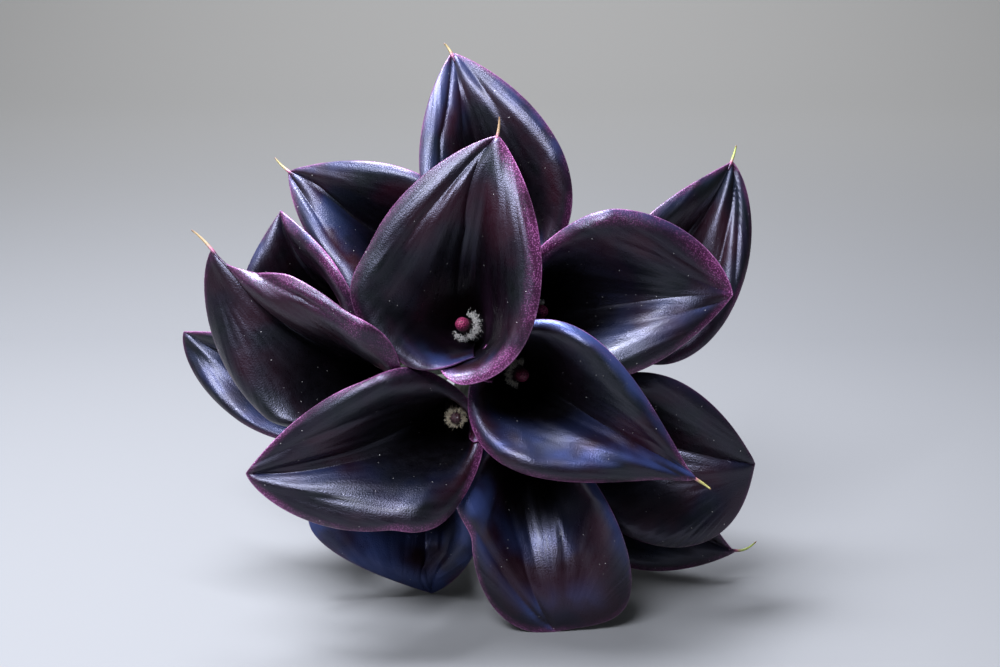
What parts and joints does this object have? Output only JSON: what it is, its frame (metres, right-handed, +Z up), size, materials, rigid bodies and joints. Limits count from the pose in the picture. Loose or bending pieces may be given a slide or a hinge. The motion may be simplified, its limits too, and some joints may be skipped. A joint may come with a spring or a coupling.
{
  "type": "calla lily bouquet",
  "caption": "Hand-tied bouquet of near-black calla lilies lying on its side: flared spathes with a rolled magenta rim, each round a spadix, on bare cut stems.",
  "frame": {"origin": "on the surface the bouquet lies on, under the middle of its bounding box", "axes": "+Z up; -Y to the front, where the flower heads look; +Y towards the cut ends of the stems; +X to the right seen from the front"},
  "size_m": [0.246, 0.3178, 0.2246],
  "materials": {
    "spathe": "near-black purple, satin, with a cool violet sheen and a magenta rim",
    "stem": "smooth fresh green skin, satin",
    "spadix": "grainy dark crimson, dusted with cream pollen",
    "tie": "wound natural twine"
  },
  "bodies": {
    "root": {"spathe_A": "spathe", "stem_A": "stem", "spadix_A": "spadix", "spathe_H": "spathe", "stem_H": "stem", "spadix_H": "spadix", "spathe_I": "spathe", "stem_I": "stem", "spadix_I": "spadix", "spathe_G": "spathe", "stem_G": "stem", "spadix_G": "spadix", "spathe_E": "spathe", "stem_E": "stem", "spadix_E": "spadix", "spathe_B": "spathe", "stem_B": "stem", "spadix_B": "spadix", "spathe_C": "spathe", "stem_C": "stem", "spadix_C": "spadix", "spathe_D": "spathe", "stem_D": "stem", "spadix_D": "spadix", "spathe_F": "spathe", "stem_F": "stem", "spadix_F": "spadix", "spathe_J": "spathe", "stem_J": "stem", "spadix_J": "spadix", "spathe_K": "spathe", "stem_K": "stem", "spadix_K": "spadix", "spathe_L": "spathe", "stem_L": "stem", "spadix_L": "spadix", "spathe_M": "spathe", "stem_M": "stem", "spadix_M": "spadix", "spathe_N": "spathe", "stem_N": "stem", "spadix_N": "spadix", "tie": "tie"}
  },
  "joints": []
}
